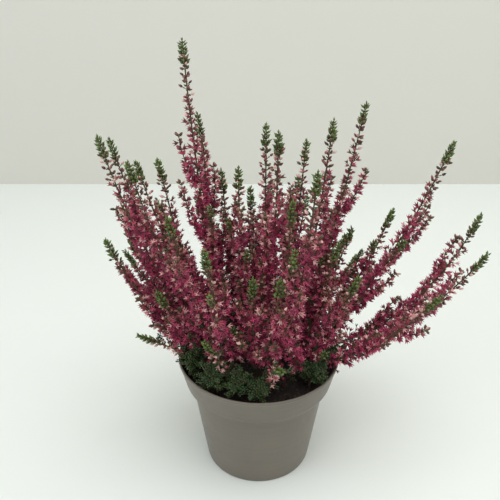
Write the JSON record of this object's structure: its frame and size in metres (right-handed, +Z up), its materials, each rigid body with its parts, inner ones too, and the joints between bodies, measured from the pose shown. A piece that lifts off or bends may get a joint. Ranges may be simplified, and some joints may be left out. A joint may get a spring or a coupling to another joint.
{
  "type": "potted heather",
  "caption": "Heather plant with upright spikes of small pointed buds, standing in peat in a round tapered nursery pot with a deep flared collar.",
  "frame": {"origin": "centre of the pot's underside, on the surface the pot stands on", "axes": "+Z up; -Y towards the side that the picture shows; +X to its right"},
  "size_m": [0.2544, 0.1811, 0.315],
  "materials": {
    "pot_plastic": "thin moulded taupe plastic, satin",
    "peat": "damp black-brown peat, crumbly",
    "flower_spray": "matt magenta buds and florets on green-brown stems with green tips",
    "scale_leaves": "matt dark green overlapping scale leaves"
  },
  "bodies": {
    "root": {"leafy_shoot_1": "scale_leaves", "leafy_shoot_2": "scale_leaves", "leafy_shoot_3": "scale_leaves", "leafy_shoot_4": "scale_leaves", "leafy_shoot_5": "scale_leaves", "leafy_shoot_6": "scale_leaves", "leafy_shoot_7": "scale_leaves", "leafy_shoot_8": "scale_leaves", "pot": "pot_plastic", "soil": "peat", "spray_back_01": "flower_spray", "spray_back_02": "flower_spray", "spray_back_03": "flower_spray", "spray_back_04": "flower_spray", "spray_back_05": "flower_spray", "spray_back_06": "flower_spray", "spray_back_07": "flower_spray", "spray_back_08": "flower_spray", "spray_back_09": "flower_spray", "spray_back_10": "flower_spray", "spray_back_11": "flower_spray", "spray_back_12": "flower_spray", "spray_centre_01": "flower_spray", "spray_centre_02": "flower_spray", "spray_centre_03": "flower_spray", "spray_centre_04": "flower_spray", "spray_centre_05": "flower_spray", "spray_centre_06": "flower_spray", "spray_centre_07": "flower_spray", "spray_centre_08": "flower_spray", "spray_front_01": "flower_spray", "spray_front_02": "flower_spray", "spray_front_03": "flower_spray", "spray_front_04": "flower_spray", "spray_front_05": "flower_spray", "spray_front_06": "flower_spray", "spray_left_01": "flower_spray", "spray_left_02": "flower_spray", "spray_left_03": "flower_spray", "spray_left_04": "flower_spray", "spray_left_05": "flower_spray", "spray_left_06": "flower_spray", "spray_left_07": "flower_spray", "spray_left_08": "flower_spray", "spray_left_09": "flower_spray", "spray_left_10": "flower_spray", "spray_left_11": "flower_spray", "spray_left_12": "flower_spray", "spray_right_01": "flower_spray", "spray_right_02": "flower_spray", "spray_right_03": "flower_spray", "spray_right_04": "flower_spray", "spray_right_05": "flower_spray", "spray_right_06": "flower_spray", "spray_right_07": "flower_spray", "spray_right_08": "flower_spray", "spray_right_09": "flower_spray", "spray_right_10": "flower_spray", "spray_right_11": "flower_spray"}
  },
  "joints": []
}
